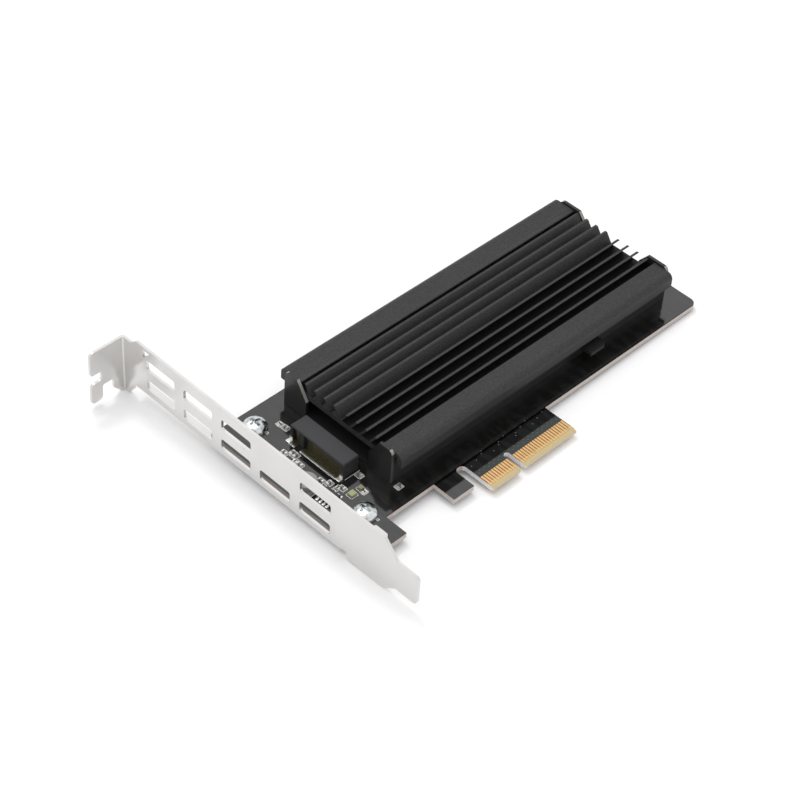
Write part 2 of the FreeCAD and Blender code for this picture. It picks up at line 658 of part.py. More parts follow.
def frame_screws():
    """Four small pan head screws from the solder side into the frame's bosses."""
    screws = []
    for x in ("boss_near", "boss_far"):
        for side in ("+", "-"):
            y = "mid_line %s boss_side" % side
            head = cylinder("frame_screw_head", "small_head", x, y,
                            "-board_thick - small_head_tall", "-board_thick")
            shank = cylinder("frame_screw_shank", "small_shank", x, y,
                             "-board_thick", "small_shank_up")
            whole = doc.addObject("Part::MultiFuse", "frame_screw_whole")
            whole.Shapes = [head, shank]
            bars = []
            for along, across in (("small_head / 2", "small_head / 8"),
                                  ("small_head / 8", "small_head / 2")):
                bars.append(block("frame_screw_bar", "%s - %s / 2" % (x, along),
                                  "%s + %s / 2" % (x, along), "%s - %s / 2" % (y, across),
                                  "%s + %s / 2" % (y, across),
                                  "-board_thick - small_head_tall - 1",
                                  "-board_thick - small_head_tall / 2"))
            cross = doc.addObject("Part::MultiFuse", "frame_screw_cross")
            cross.Shapes = bars
            screw = doc.addObject("Part::Cut", "frame_screw")
            screw.Base = whole
            screw.Tool = cross
            screws.append(screw)
    grouped("frame_screws", screws)


def stand_offs():
    """Threaded posts pressed through the board, one for each drive length that fits."""
    posts = []
    for x in ("stand_one", "stand_two"):
        post = cylinder("stand_off_post", "stand_wide", x, "socket_middle", "0", "stand_tall")
        stem = cylinder("stand_off_stem", "stand_foot", x, "socket_middle", "-board_thick", "0")
        whole = doc.addObject("Part::MultiFuse", "stand_off_whole")
        whole.Shapes = [post, stem]
        bore = cylinder("stand_off_bore", "stand_bore", x, "socket_middle",
                        "-board_thick - 1", "stand_tall + 1")
        tube = doc.addObject("Part::Cut", "stand_off")
        tube.Base = whole
        tube.Tool = bore
        posts.append(tube)
    grouped("drive_stand_offs", posts)


# ---- small soldered parts -------------------------------------------------------------------

# Places of the small two-ended parts: X, Y and whether the part runs along X.
CAPACITORS = ((12.2, -55.7, 0), (13.8, -57.3, 1), (13.8, -58.6, 1), (12.2, -62.0, 0),
              (12.4, -70.4, 0), (13.4, -72.6, 1), (14.9, -76.4, 0), (21.8, -75.9, 0),
              (19.2, -48.6, 0), (27.0, "mid_line - frame_half - side_chip_gap", 1))
RESISTORS = ((12.2, -60.1, 0), (14.0, -75.4, 0), (18.4, -81.3, 1), (19.0, -46.4, 1))


def chip_ends(x, y, along, long, wide, tall):
    """A two-ended chip as body and two metal ends, which meet face to face."""
    def span(low, high):
        if along:
            return ("%s + (%s)" % (x, low), "%s + (%s)" % (x, high),
                    "%s - %s / 2" % (y, wide), "%s + %s / 2" % (y, wide))
        return ("%s - %s / 2" % (x, wide), "%s + %s / 2" % (x, wide),
                "%s + (%s)" % (y, low), "%s + (%s)" % (y, high))
    half = long + " / 2"
    middle = block("chip_middle", *span("end_long - " + half, half + " - end_long"), "0", tall)
    ends = [block("chip_end", *span("-" + half, "end_long - " + half), "0", tall),
            block("chip_end", *span(half + " - end_long", half), "0", tall)]
    return middle, ends


def small_chips(label, places, long, wide, tall):
    """One node of chip bodies; their metal ends are handed back."""
    middles = []
    tips = []
    for x, y, along in places:
        middle, ends = chip_ends(str(x), str(y), along, long, wide, tall)
        middles.append(middle)
        tips.extend(ends)
    grouped(label, middles)
    return tips


def power_coil():
    """Wound drum on a square base: the lid hides the winding from above."""
    body = new_body("power_inductor")
    put(body, "coil_x", "coil_y", "0")
    base = new_sketch(body, "XY_Plane")
    box_outline(base, "-coil_wide / 2", "coil_wide / 2", "-coil_wide / 2", "coil_wide / 2")
    pad(body, base, "coil_base")
    round_edges(body, [(u + "coil_wide / 2", v + "coil_wide / 2", None)
                       for u in ("", "-") for v in ("", "-")], "coil_round")
    winding = new_sketch(body, "XY_Plane", "coil_base / 2")
    circle(winding, "0", "0", "coil_waist")
    pad(body, winding, "coil_tall - coil_base / 2 - coil_lid / 2")
    lid = new_sketch(body, "XY_Plane", "coil_tall - coil_lid")
    circle(lid, "0", "0", "coil_across")
    pad(body, lid, "coil_lid")


def driver_chip():
    """Eight-legged power chip beside the coil: moulded body and its gull-wing legs."""
    body = new_body("regulator_chip")
    put(body, "driver_x", "driver_y", "0")
    base = new_sketch(body, "XY_Plane", "leg_thick")
    box_outline(base, "-driver_wide / 2", "driver_wide / 2", "-driver_long / 2", "driver_long / 2")
    pad(body, base, "driver_tall")
    bevel_edges(body, [("-driver_wide / 2", None, "leg_thick + driver_tall"),
                       ("driver_wide / 2", None, "leg_thick + driver_tall")], "driver_bevel")
    legs = []
    for number in range(4):
        middle = "driver_y + %.1f * leg_pitch" % (number - 1.5)
        for side in (1, -1):
            edge = "driver_x + %d * driver_wide / 2" % side
            out = "driver_x + %d * (driver_wide / 2 + leg_out)" % side
            riser = "driver_x + %d * (driver_wide / 2 + leg_thick)" % side
            low, high = (edge, out) if side > 0 else (out, edge)
            inner, outer = (edge, riser) if side > 0 else (riser, edge)
            flat = block("chip_leg_foot", low, high, middle + " - leg_wide / 2",
                         middle + " + leg_wide / 2", "0", "leg_thick")
            rise = block("chip_leg_riser", inner, outer, middle + " - leg_wide / 2",
                         middle + " + leg_wide / 2", "0", "driver_tall / 2")
            leg = doc.addObject("Part::MultiFuse", "chip_leg")
            leg.Shapes = [flat, rise]
            legs.append(leg)
    grouped("regulator_legs", legs)


def crystal_and_lamp():
    can = block("clock_crystal", "crystal_x - crystal_wide / 2", "crystal_x + crystal_wide / 2",
                "crystal_y - crystal_long / 2", "crystal_y + crystal_long / 2",
                "0", "crystal_tall")
    can.Label = "clock_crystal"
    lamp = block("status_lamp", "lamp_x - lamp_wide / 2", "lamp_x + lamp_wide / 2",
                 "lamp_y - lamp_long / 2", "lamp_y + lamp_long / 2", "0", "lamp_tall")
    lamp.Label = "status_lamp"


circuit_board()
edge_contacts("edge_contacts_component_side", "0", "pin_thick", (17, 31))
edge_contacts("edge_contacts_solder_side", "-board_thick - pin_thick", "-board_thick", (1,))
bracket()
bracket_screws()
socket_housing()
socket_contacts()
socket_posts()
heatsink()
thermal_pad()
base_frame()
frame_screws()
stand_offs()
metal_ends = small_chips("ceramic_capacitors", CAPACITORS, "cap_long", "cap_wide", "cap_tall")
metal_ends += small_chips("chip_resistors", RESISTORS,
                          "chip_res_long", "chip_res_wide", "chip_res_tall")
grouped("chip_metal_ends", metal_ends)
power_coil()
driver_chip()
crystal_and_lamp()
doc.recompute()

NODES = ("circuit_board", "edge_contacts_component_side", "edge_contacts_solder_side",
         "io_bracket", "bracket_screws", "drive_socket_housing", "socket_back_contacts",
         "socket_front_contacts", "socket_hold_downs", "heatsink_cover", "thermal_pad",
         "base_frame", "frame_screws", "drive_stand_offs", "ceramic_capacitors",
         "chip_resistors", "chip_metal_ends", "power_inductor", "regulator_chip",
         "regulator_legs", "clock_crystal", "status_lamp")


def write_parts():
    """Every object must be sound before any file is written."""
    for obj in doc.Objects:
        if "Invalid" in obj.State or "Error" in obj.State:
            raise RuntimeError("%s failed: %s" % (obj.Label, obj.State))
    parts = [(name, doc.getObjectsByLabel(name)[0]) for name in NODES]
    for name, obj in parts:
        if obj.Shape.isNull() or not obj.Shape.isValid():
            raise RuntimeError(name + " has no sound shape")
    os.makedirs("parts", exist_ok=True)
    for name, obj in parts:
        obj.Shape.exportStep("parts/%s.step" % name)


write_parts()
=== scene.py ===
"""Finishes, soldered detail and studio for the adapter card that carries one slim drive."""
import json
import math

import bmesh
import bpy
from mathutils import Matrix, Vector


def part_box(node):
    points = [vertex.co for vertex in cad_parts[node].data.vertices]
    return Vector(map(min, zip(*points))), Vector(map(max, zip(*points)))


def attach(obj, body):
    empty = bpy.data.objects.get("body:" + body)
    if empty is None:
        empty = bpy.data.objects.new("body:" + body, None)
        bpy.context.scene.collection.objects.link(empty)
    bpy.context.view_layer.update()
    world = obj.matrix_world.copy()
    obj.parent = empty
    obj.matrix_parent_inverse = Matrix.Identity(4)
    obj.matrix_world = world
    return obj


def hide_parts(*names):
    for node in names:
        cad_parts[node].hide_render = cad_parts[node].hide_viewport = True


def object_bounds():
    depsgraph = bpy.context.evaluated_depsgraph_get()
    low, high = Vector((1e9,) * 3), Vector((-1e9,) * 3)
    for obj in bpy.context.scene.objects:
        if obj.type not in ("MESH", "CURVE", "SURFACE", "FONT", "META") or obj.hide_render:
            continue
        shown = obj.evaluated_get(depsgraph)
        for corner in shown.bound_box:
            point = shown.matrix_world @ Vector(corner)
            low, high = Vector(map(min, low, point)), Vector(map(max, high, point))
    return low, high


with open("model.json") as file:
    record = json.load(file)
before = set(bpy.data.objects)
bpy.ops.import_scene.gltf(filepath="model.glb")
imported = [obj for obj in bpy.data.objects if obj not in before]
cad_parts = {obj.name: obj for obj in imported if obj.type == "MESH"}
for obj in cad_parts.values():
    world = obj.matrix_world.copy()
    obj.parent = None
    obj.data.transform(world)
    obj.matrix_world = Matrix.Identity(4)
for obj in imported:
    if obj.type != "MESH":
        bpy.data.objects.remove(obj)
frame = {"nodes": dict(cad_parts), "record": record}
cad_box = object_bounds()
nodes = frame["nodes"]
MM = 0.001
ROOT = "root"


# ---- shader tools -----------------------------------------------------------------------------

class Value:
    """One output socket of a finish, with the arithmetic that adds Math nodes."""

    def __init__(self, finish, socket):
        self.finish = finish
        self.socket = socket

    def maths(self, operation, first, second=0.0):
        return self.finish.node("ShaderNodeMath", {"operation": operation}, {0: first, 1: second})

    def __add__(self, other):
        return self.maths("ADD", self, other)

    __radd__ = __add__

    def __sub__(self, other):
        return self.maths("SUBTRACT", self, other)

    def __rsub__(self, other):
        return self.maths("SUBTRACT", other, self)

    def __mul__(self, other):
        return self.maths("MULTIPLY", self, other)

    __rmul__ = __mul__

    def __gt__(self, other):
        return self.maths("GREATER_THAN", self, other)

    def __lt__(self, other):
        return self.maths("LESS_THAN", self, other)

    def __abs__(self):
        return self.maths("ABSOLUTE", self)

    def eased(self, low, high):
        """0 below low, 1 above high, smooth between."""
        return self.finish.node("ShaderNodeMapRange", {"interpolation_type": "SMOOTHSTEP"},
                                {"Value": self, "From Min": low, "From Max": high})


class Finish:
    """One material: a Principled shader, and the nodes that vary it over the surface."""

    def __init__(self, name, colour, roughness, **fixed):
        self.material = bpy.data.materials.new(name)
        self.material.use_nodes = True
        self.tree = self.material.node_tree
        self.surface = self.tree.nodes["Principled BSDF"]
        self.place = self.node("ShaderNodeTexCoord", output="Object")
        self.set(**{"Base Color": (*colour, 1.0), "Roughness": roughness})
        self.set(**{key.replace("_", " "): value for key, value in fixed.items()})

    def node(self, kind, settings=None, inputs=None, output=0):
        """A node of any type: its settings first, then the values or links of its sockets."""
        made = self.tree.nodes.new(kind)
        for name, value in (settings or {}).items():
            setattr(made, name, value)
        for key, value in (inputs or {}).items():
            self.feed(made.inputs[key], value)
        return Value(self, made.outputs[output])

    def feed(self, socket, value):
        """A link for a value that varies, or else a constant on the socket."""
        if isinstance(value, Value):
            self.tree.links.new(value.socket, socket)
        else:
            socket.default_value = value

    def set(self, **inputs):
        """Values or links for the Principled shader's sockets, by their names."""
        for name, value in inputs.items():
            self.feed(self.surface.inputs[name], value)

    def noise(self, size, detail=3.0, stretch=(1.0, 1.0, 1.0)):
        """Soft noise from 0 to 1, with spots about this many millimetres across."""
        spot = self.node("ShaderNodeMapping", {}, {"Vector": self.place, "Scale": stretch},
                         "Vector")
        return self.node("ShaderNodeTexNoise", {}, {"Vector": spot, "Scale": 1 / (size * MM),
                                                    "Detail": detail}, "Fac")

    def mix(self, factor, first, second):
        """A colour from first to second as the factor goes from 0 to 1."""
        def whole(colour):
            return colour if isinstance(colour, Value) else (*colour, 1.0)
        return self.node("ShaderNodeMix", {"data_type": "RGBA"},
                         {0: factor, 6: whole(first), 7: whole(second)}, 2)

    def axis(self, letter):
        """One coordinate over the surface, in metres."""
        return self.node("ShaderNodeSeparateXYZ", {}, {0: self.place}, letter)

    def facing(self, letter):
        """One part of the surface's own direction, from -1 to 1."""
        normal = self.node("ShaderNodeNewGeometry", output="True Normal")
        return self.node("ShaderNodeSeparateXYZ", {}, {0: normal}, letter)

    def rough(self, height, depth):
        """Relief from a height of 0 to 1, as deep as this many millimetres."""
        bump = self.node("ShaderNodeBump", {}, {"Height": height, "Distance": depth * MM,
                                                "Strength": 1.0}, "Normal")
        self.set(Normal=bump)


def shades(colour, spread):
    """The colour a little darker and a little lighter."""
    return tuple(part * (1 - spread) for part in colour), tuple(
        min(1.0, part * (1 + spread)) for part in colour)


def grained(name, colour, roughness, size, depth, spread=0.12, **fixed):
    """A finish whose tone, gloss and relief follow one grain of this size."""
    finish = Finish(name, colour, roughness, **fixed)
    grain = finish.noise(size)
    cloud = finish.noise(size * 18, 2.0)
    low, high = shades(colour, spread)
    finish.set(**{"Base Color": finish.mix(0.6 * grain + 0.4 * cloud, low, high),
                  "Roughness": roughness * (0.86 + 0.28 * cloud)})
    finish.rough(grain, depth)
    return finish


# ---- finishes ---------------------------------------------------------------------------------

# The board's zones, measured from the box of the edge contacts.
KEY_FROM_END = 11.85 * MM
KEY_SIDE = 1.3 * MM
SHOULDER_FROM_TIP = 10.8 * MM
SHOULDER_EDGE = 0.2 * MM
BARE_SIDE = 0.5 * MM
TONGUE_SIDE = 1.5 * MM
TIP_LONG = 0.95 * MM
THIN_LONG = 2.3 * MM
# Where the painted dark reflection on the mask begins and becomes full past the contacts, and how
# far its edge wavers.
PAINTED_DARK_START, PAINTED_DARK_FULL = 2.2 * MM, 2.9 * MM
PAINTED_DARK_WAVE = 0.4 * MM
HOOK_REACH = 30.0 * MM


def board_mask():
    """Glossy black mask over copper, with bare laminate on every cut edge.

    Round the edge contacts the mask stops: the gaps between them are bare and their tips
    ground. Past them comes a strip of thin greenish mask, and then, out to the hook, a painted
    dark reflection where the mask turns metallic over its black colour.
    """
    finish = Finish("board_mask", (0.010, 0.010, 0.010), 0.08, Specular_IOR_Level=1.0)
    flat = abs(finish.facing("Z")) > 0.95
    slope = (abs(finish.facing("Z")) > 0.1) * (1.0 - flat)
    mottle = finish.noise(3.0, 4.0)
    weave = finish.noise(0.45, 2.0)
    tracks = finish.noise(2.2, 1.0, (1.0, 0.25, 1.0)).eased(0.50, 0.52)
    mask = finish.mix(tracks * 0.6 + mottle * 0.2, (0.0085, 0.0086, 0.0082),
                      (0.0170, 0.0174, 0.0168))
    low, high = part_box("edge_contacts_component_side")
    foot = low.y + SHOULDER_FROM_TIP
    across, along = finish.axis("X"), finish.axis("Y")
    layers = finish.noise(0.9, 3.0, (1.0, 1.0, 5.0))
    ground = finish.mix(layers, (0.48, 0.37, 0.16), (0.62, 0.50, 0.26))
    bare = (along < high.y) * (across > low.x - BARE_SIDE)
    tips = bare * (along < low.y + TIP_LONG)
    thin = (along < high.y + THIN_LONG) * (across > low.x - BARE_SIDE) - bare
    # Painted dark reflection: out to the hook the black mask turns metallic, so it reflects
    # almost nothing there.
    painted_dark_reflection = (along + PAINTED_DARK_WAVE * mottle).eased(high.y + PAINTED_DARK_START, high.y + PAINTED_DARK_FULL)
    painted_dark_reflection = painted_dark_reflection * (along < foot + SHOULDER_EDGE) * (across > low.x - HOOK_REACH)
    mask = finish.mix(thin, mask, (0.010, 0.018, 0.014))
    mask = finish.mix(bare, mask, (0.19, 0.062, 0.022))
    mask = finish.mix(tips, mask, ground)
    laminate = finish.mix(layers, (0.42, 0.34, 0.30), (0.66, 0.59, 0.55))
    routed = finish.mix(layers, (0.74, 0.73, 0.74), (0.88, 0.87, 0.89))
    notch = abs(across - (low.x + KEY_FROM_END)) < KEY_SIDE
    end = (abs(finish.facing("X")) > 0.8) * (across > low.x - TONGUE_SIDE)
    side = (1.0 - (1.0 - notch) * (1.0 - end)) * (along < foot)
    cut = finish.mix(slope, finish.mix(side, laminate, routed), ground)
    finish.set(**{"Base Color": finish.mix(flat, cut, mask),
                  "Roughness": 0.62 - 0.55 * flat + 0.04 * mottle,
                  "Metallic": flat * (painted_dark_reflection + 0.4 * thin + 0.7 * bare)})
    finish.rough(tracks * 0.35 + weave * 0.12, 0.012)
    return finish


def contact_gold():
    """Plated gold with wipe marks that run along each contact."""
    finish = Finish("contact_gold", (0.83, 0.56, 0.26), 0.3, Metallic=0.85)
    wipe = finish.noise(0.25, 3.0, (1.0, 0.12, 1.0))
    cloud = finish.noise(4.0, 2.0)
    finish.set(**{"Base Color": finish.mix(cloud, (0.66, 0.40, 0.16), (0.80, 0.53, 0.25)),
                  "Roughness": 0.22 + 0.2 * wipe})
    finish.rough(wipe, 0.004)
    return finish


def nickel_steel():
    """Plated sheet: very fine rolled grain along the bracket, and soft clouding."""
    finish = Finish("bracket_steel", (0.74, 0.73, 0.72), 0.34, Metallic=0.88)
    grain = finish.noise(0.35, 3.0, (1.0, 0.07, 0.6))
    cloud = finish.noise(14.0, 3.0)
    finish.set(**{"Base Color": finish.mix(cloud, (0.66, 0.645, 0.63), (0.755, 0.745, 0.735)),
                  "Roughness": 0.17 + 0.1 * cloud})
    finish.rough(grain, 0.003)
    return finish


CHANNEL_DEEP = 3.0 * MM


def anodised():
    """Blasted black extrusion: a fine grit over faint die lines, with painted shade on the
    channel floors.
    """
    finish = Finish("anodised_black", (0.04, 0.04, 0.041), 0.42, Metallic=0.1,
                    Specular_IOR_Level=0.16)
    lines = finish.noise(0.28, 2.0, (0.012, 1.0, 1.0))
    grit = finish.noise(0.42, 2.0).eased(0.34, 0.66)
    cloud = finish.noise(16.0, 3.0, (0.35, 1.0, 1.0))
    tone = 0.2 * lines + 0.5 * grit + 0.3 * cloud
    shell = finish.mix(tone, (0.026, 0.026, 0.027), (0.056, 0.056, 0.058))
    # Painted shade: the upward faces low in the channels are given a darker colour.
    channel = finish.axis("Z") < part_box("heatsink_cover")[1].z - CHANNEL_DEEP
    painted_channel_shade = channel * (finish.facing("Z") > 0.5)
    finish.set(**{"Base Color": finish.mix(painted_channel_shade, shell, (0.014, 0.014, 0.014)),
                  "Roughness": 0.34 + 0.16 * cloud})
    finish.rough(0.3 * lines + 0.7 * grit, 0.03)
    return finish


def bright_zinc():
    """Clouded zinc plating on the screws' heads."""
    finish = Finish("bright_zinc", (0.72, 0.76, 0.73), 0.2, Metallic=1.0)
    turned = finish.noise(0.3, 2.0)
    cloud = finish.noise(2.3, 2.0).eased(0.34, 0.66)
    finish.set(**{"Base Color": finish.mix(cloud, (0.40, 0.425, 0.43), (0.82, 0.84, 0.845)),
                  "Roughness": 0.14 + 0.16 * cloud})
    finish.rough(turned, 0.01)
    return finish


EDGES_FROM = 2.0 * MM
RIM_DEEP = 0.98 * MM


def moulded_frame():
    """Black plastic, with painted highlights along the thin slanted edges of its end walls."""
    finish = Finish("frame_plastic", (0.008, 0.008, 0.008), 0.3, Specular_IOR_Level=0.4)
    grain = finish.noise(0.5)
    black = finish.mix(grain, (0.015, 0.0152, 0.015), (0.021, 0.0212, 0.021))
    up = finish.facing("Z")
    # Painted highlight: faces that slant upward, and faintly one rim at the frame's low end, are
    # made pale.
    slanted = (up > 0.2) * (up < 0.95) * (finish.axis("Z") > EDGES_FROM)
    low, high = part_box("base_frame")
    rim = (finish.facing("Y") < -0.6) * (finish.axis("X") < low.x + RIM_DEEP)
    rim = rim * (finish.axis("Y") < (low.y + high.y) / 2)
    painted_edge_highlight = 1.0 - (1.0 - slanted) * (1.0 - 0.18 * rim)
    finish.set(**{"Base Color": finish.mix(painted_edge_highlight, black, (0.30, 0.30, 0.27)),
                  "Roughness": 0.27 + 0.08 * grain})
    finish.rough(grain, 0.01)
    return finish


def solder_tin(name="solder_tin", colour=(0.72, 0.72, 0.70)):
    """Bright metal with a soft ripple, for solder and tinned or plated springs."""
    finish = Finish(name, colour, 0.28, Metallic=0.9)
    ripple = finish.noise(0.35, 3.0)
    low, high = shades(colour, 0.16)
    finish.set(**{"Base Color": finish.mix(ripple, low, high),
                  "Roughness": 0.2 + 0.2 * ripple})
    finish.rough(ripple, 0.03)
    return finish


FINISHES = {
    "board_mask": board_mask(),
    "gold": contact_gold(),
    "bracket_steel": nickel_steel(),
    "screw_zinc": bright_zinc(),
    "socket_plastic": grained("socket_plastic", (0.030, 0.030, 0.033), 0.5, 0.2, 0.012,
                              Specular_IOR_Level=0.38),
    "spring_contact": solder_tin("spring_contact", (0.24, 0.225, 0.145)),
    "tin": solder_tin(),
    "anodised_aluminium": anodised(),
    "thermal_gum": grained("thermal_gum", (0.36, 0.39, 0.44), 0.8, 0.6, 0.05),
    "frame_plastic": moulded_frame(),
    "screw_black": grained("screw_black", (0.16, 0.16, 0.17), 0.3, 0.3, 0.01, Metallic=0.9),
    "stand_off_brass": grained("stand_off_brass", (0.62, 0.45, 0.20), 0.28, 0.3, 0.01,
                               Metallic=0.95),
    "capacitor_ceramic": grained("capacitor_ceramic", (0.17, 0.15, 0.125), 0.4, 0.25, 0.01),
    "resistor_ceramic": grained("resistor_ceramic", (0.02, 0.02, 0.022), 0.25, 0.3, 0.005),
    "ferrite": grained("ferrite", (0.26, 0.26, 0.255), 0.5, 0.25, 0.02),
    "chip_resin": grained("chip_resin", (0.02, 0.02, 0.022), 0.5, 0.18, 0.015),
    "crystal_can": grained("crystal_can", (0.24, 0.25, 0.13), 0.35, 0.3, 0.008, Metallic=0.3),
    "lamp_lens": grained("lamp_lens", (0.36, 0.37, 0.19), 0.25, 0.6, 0.01),
    "masked_via": grained("masked_via", (0.085, 0.087, 0.085), 0.3, 0.2, 0.01),
    "print_white": grained("print_white", (0.78, 0.79, 0.78), 0.55, 0.12, 0.01, spread=0.2),
}


def dress_nodes():
    """Every carried-over node takes the finish of its own material slot."""
    for part in frame["record"]["subparts"]:
        finish = FINISHES[part["material_slot"]]
        for slot in nodes[part["node"]].material_slots:
            slot.material = finish.material


# ---- mesh tools -------------------------------------------------------------------------------

def solids_of(name):
    """Lowest and highest corner, in metres, of each separate solid in a node."""
    work = bmesh.new()
    work.from_mesh(nodes[name].data)
    bmesh.ops.remove_doubles(work, verts=work.verts, dist=1e-7)
    left = set(work.verts)
    boxes = []
    while left:
        reached = [left.pop()]
        for vert in reached:
            for edge in vert.link_edges:
                other = edge.other_vert(vert)
                if other in left:
                    left.remove(other)
                    reached.append(other)
        places = [vert.co for vert in reached]
        low = Vector([min(place[axis] for place in places) for axis in range(3)])
        high = Vector([max(place[axis] for place in places) for axis in range(3)])
        boxes.append((low, high))
    work.free()
    return sorted(boxes, key=lambda box: (round(box[0].x, 6), round(box[0].y, 6)))


def add_block(work, low, high, bevel=0.0):
    """A box between two corners in metres, its edges eased by the bevel."""
    size = high - low
    place = Matrix.Translation((low + high) / 2) @ Matrix.Diagonal((*size, 1.0))
    made = bmesh.ops.create_cube(work, size=1.0, matrix=place)
    if bevel:
        edges = {edge for vert in made["verts"] for edge in vert.link_edges}
        bmesh.ops.bevel(work, geom=list(edges), offset=bevel, offset_type="OFFSET",
                        affect="EDGES", segments=2, profile=0.5, material=-1)
    return made["verts"]


def finished(name, work, slot, smooth=35.0):
    """The worked mesh as a piece that rides on the card, with its slot's finish."""
    bmesh.ops.recalc_face_normals(work, faces=work.faces)
    mesh = bpy.data.meshes.new(name)
    work.to_mesh(mesh)
    work.free()
    piece = bpy.data.objects.new(name, mesh)
    bpy.context.scene.collection.objects.link(piece)
    mesh.materials.append(FINISHES[slot].material)
    if smooth:
        mesh.shade_smooth()
        mesh.set_sharp_from_angle(angle=math.radians(smooth))
    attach(piece, ROOT)
    return piece


# ---- bracket screws ---------------------------------------------------------------------------

HEAD_PROFILE = ((0.0, 1.0), (0.30, 0.985), (0.58, 0.90), (0.80, 0.72), (0.93, 0.48),
                (1.0, 0.20), (1.0, 0.06), (0.97, 0.0))
RECESS_HALF = 0.5 * MM
RECESS_REACH = 1.9 * MM
RECESS_DROP = 1.25 * MM
RECESS_TAPER = 0.72
SHANK_TOP = 1.5 * MM
SHANK_TIP = 1.35 * MM


def pan_head(work, low, high):
    """A domed head from a turned profile, with a cross recess sunk into its crown."""
    radius = (high.x - low.x) / 2
    middle = Vector(((low.x + high.x) / 2, (low.y + high.y) / 2, 0.0))
    verts = [work.verts.new(middle + Vector((radius * out, 0.0, high.z * up)))
             for out, up in HEAD_PROFILE]
    edges = [work.edges.new(pair) for pair in zip(verts, verts[1:])]
    bmesh.ops.spin(work, geom=verts + edges, cent=middle, axis=(0.0, 0.0, 1.0),
                   angle=2 * math.pi, steps=48, use_merge=True)
    made = {vert for vert in work.verts if (vert.co - middle).xy.length <= radius * 1.001}
    bmesh.ops.remove_doubles(work, verts=list(made), dist=1e-6)
    for axis in (0, 1):
        for side in (-RECESS_HALF, RECESS_HALF, -RECESS_REACH, RECESS_REACH):
            point = middle.copy()
            point[axis] += side
            normal = Vector((0.0, 0.0, 0.0))
            normal[axis] = 1.0
            near = [face for face in work.faces
                    if (face.calc_center_median() - middle).xy.length < radius]
            geom = near + list({edge for face in near for edge in face.edges}) + list(
                {vert for face in near for vert in face.verts})
            bmesh.ops.bisect_plane(work, geom=geom, plane_co=point, plane_no=normal, dist=1e-7)
    sunk = []
    for face in work.faces:
        offset = face.calc_center_median() - middle
        across, along = sorted((abs(offset.x), abs(offset.y)))
        if across < RECESS_HALF and along < RECESS_REACH and offset.z > high.z / 2:
            sunk.append(face)
    grown = bmesh.ops.extrude_face_region(work, geom=sunk)
    floor = [item for item in grown["geom"] if isinstance(item, bmesh.types.BMVert)]
    bmesh.ops.delete(work, geom=sunk, context="FACES")
    for vert in floor:
        inward = (vert.co - middle) * RECESS_TAPER
        vert.co = Vector((middle.x + inward.x, middle.y + inward.y, high.z - RECESS_DROP))


def bracket_screws():
    """The two screws that hold the board to the bracket's tabs: domed heads on shanks."""
    heads = bmesh.new()
    low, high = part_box("bracket_screws")
    across = high.x - low.x
    tip = low.z
    x = (low.x + high.x) / 2
    for y in (low.y + across / 2, high.y - across / 2):
        pan_head(heads, Vector((x - across / 2, y - across / 2, 0.0)),
                 Vector((x + across / 2, y + across / 2, high.z)))
        bmesh.ops.create_cone(heads, cap_ends=True, segments=32, radius1=SHANK_TIP,
                              radius2=SHANK_TOP, depth=-tip,
                              matrix=Matrix.Translation((x, y, tip / 2)))
    piece = finished("zinc_bracket_screws", heads, "screw_zinc")
    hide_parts("bracket_screws")


# ---- solder, pads and print on the board ------------------------------------------------------

SOLDER_REACH = 0.28 * MM
SOLDER_CLIMB = 0.62
CROWN_SCALE = (0.62, 0.72)
FOOT_REACH = {"socket_hold_downs": 0.14 * MM, "regulator_legs": 0.16 * MM}
FOOT_TALL = 0.12 * MM
FOOT_EASE = 0.05 * MM
DROP_BEHIND, DROP_AHEAD, DROP_SIDE = 0.3 * MM, 0.5 * MM, 0.01 * MM
DROP_TALL = 0.24 * MM
DROP_EASE = 0.06 * MM


def solder_fillets():
    """A tinned pad beneath each chip end, with solder that climbs its outer faces."""
    work = bmesh.new()
    for low, high in solids_of("chip_metal_ends"):
        foot = Vector((SOLDER_REACH, SOLDER_REACH, 0.0))
        crest = Vector((high.x, high.y, high.z * SOLDER_CLIMB))
        verts = add_block(work, low - foot, crest + foot)
        crown = [vert for vert in verts if vert.co.z > high.z * 0.5]
        middle = (low + high) / 2
        for vert in crown:
            vert.co.x = middle.x + (vert.co.x - middle.x) * CROWN_SCALE[0]
            vert.co.y = middle.y + (vert.co.y - middle.y) * CROWN_SCALE[1]
    for name, reach in FOOT_REACH.items():
        for low, high in solids_of(name):
            spread = Vector((reach, reach, 0.0))
            add_block(work, low - spread, Vector((high.x, high.y, FOOT_TALL)) + spread,
                      FOOT_EASE)
    finished("solder_fillets", work, "tin")


def tail_pads():
    """One drop of solder over the toe of each of the socket's back contact tails."""
    work = bmesh.new()
    for low, high in solids_of("socket_back_contacts"):
        add_block(work, Vector((low.x - DROP_BEHIND, low.y + DROP_SIDE, 0.0)),
                  Vector((low.x + DROP_AHEAD, high.y - DROP_SIDE, DROP_TALL)), DROP_EASE)
    finished("socket_tail_pads", work, "tin")


PRINT_TALL = 0.03 * MM
PRINT_WIDE = 0.19 * MM
PRINT_GAP = 0.3 * MM
# A capacitor's body between its metal ends is smaller than both where it lies along X.
BODY_LONG, BODY_WIDE = 1.0 * MM, 0.85 * MM
# Where each pair of marks begins and how far apart its two bars are, in millimetres.
MARK_PLACES = ((13.6, -46.6), (13.6, -91.3))
MARK_STEP = 0.55
MARK_WIDE, MARK_LONG = 0.22 * MM, 1.3 * MM
LINE_NEAR, LINE_FAR, LINE_INSET = 0.75 * MM, 0.6 * MM, 0.2 * MM


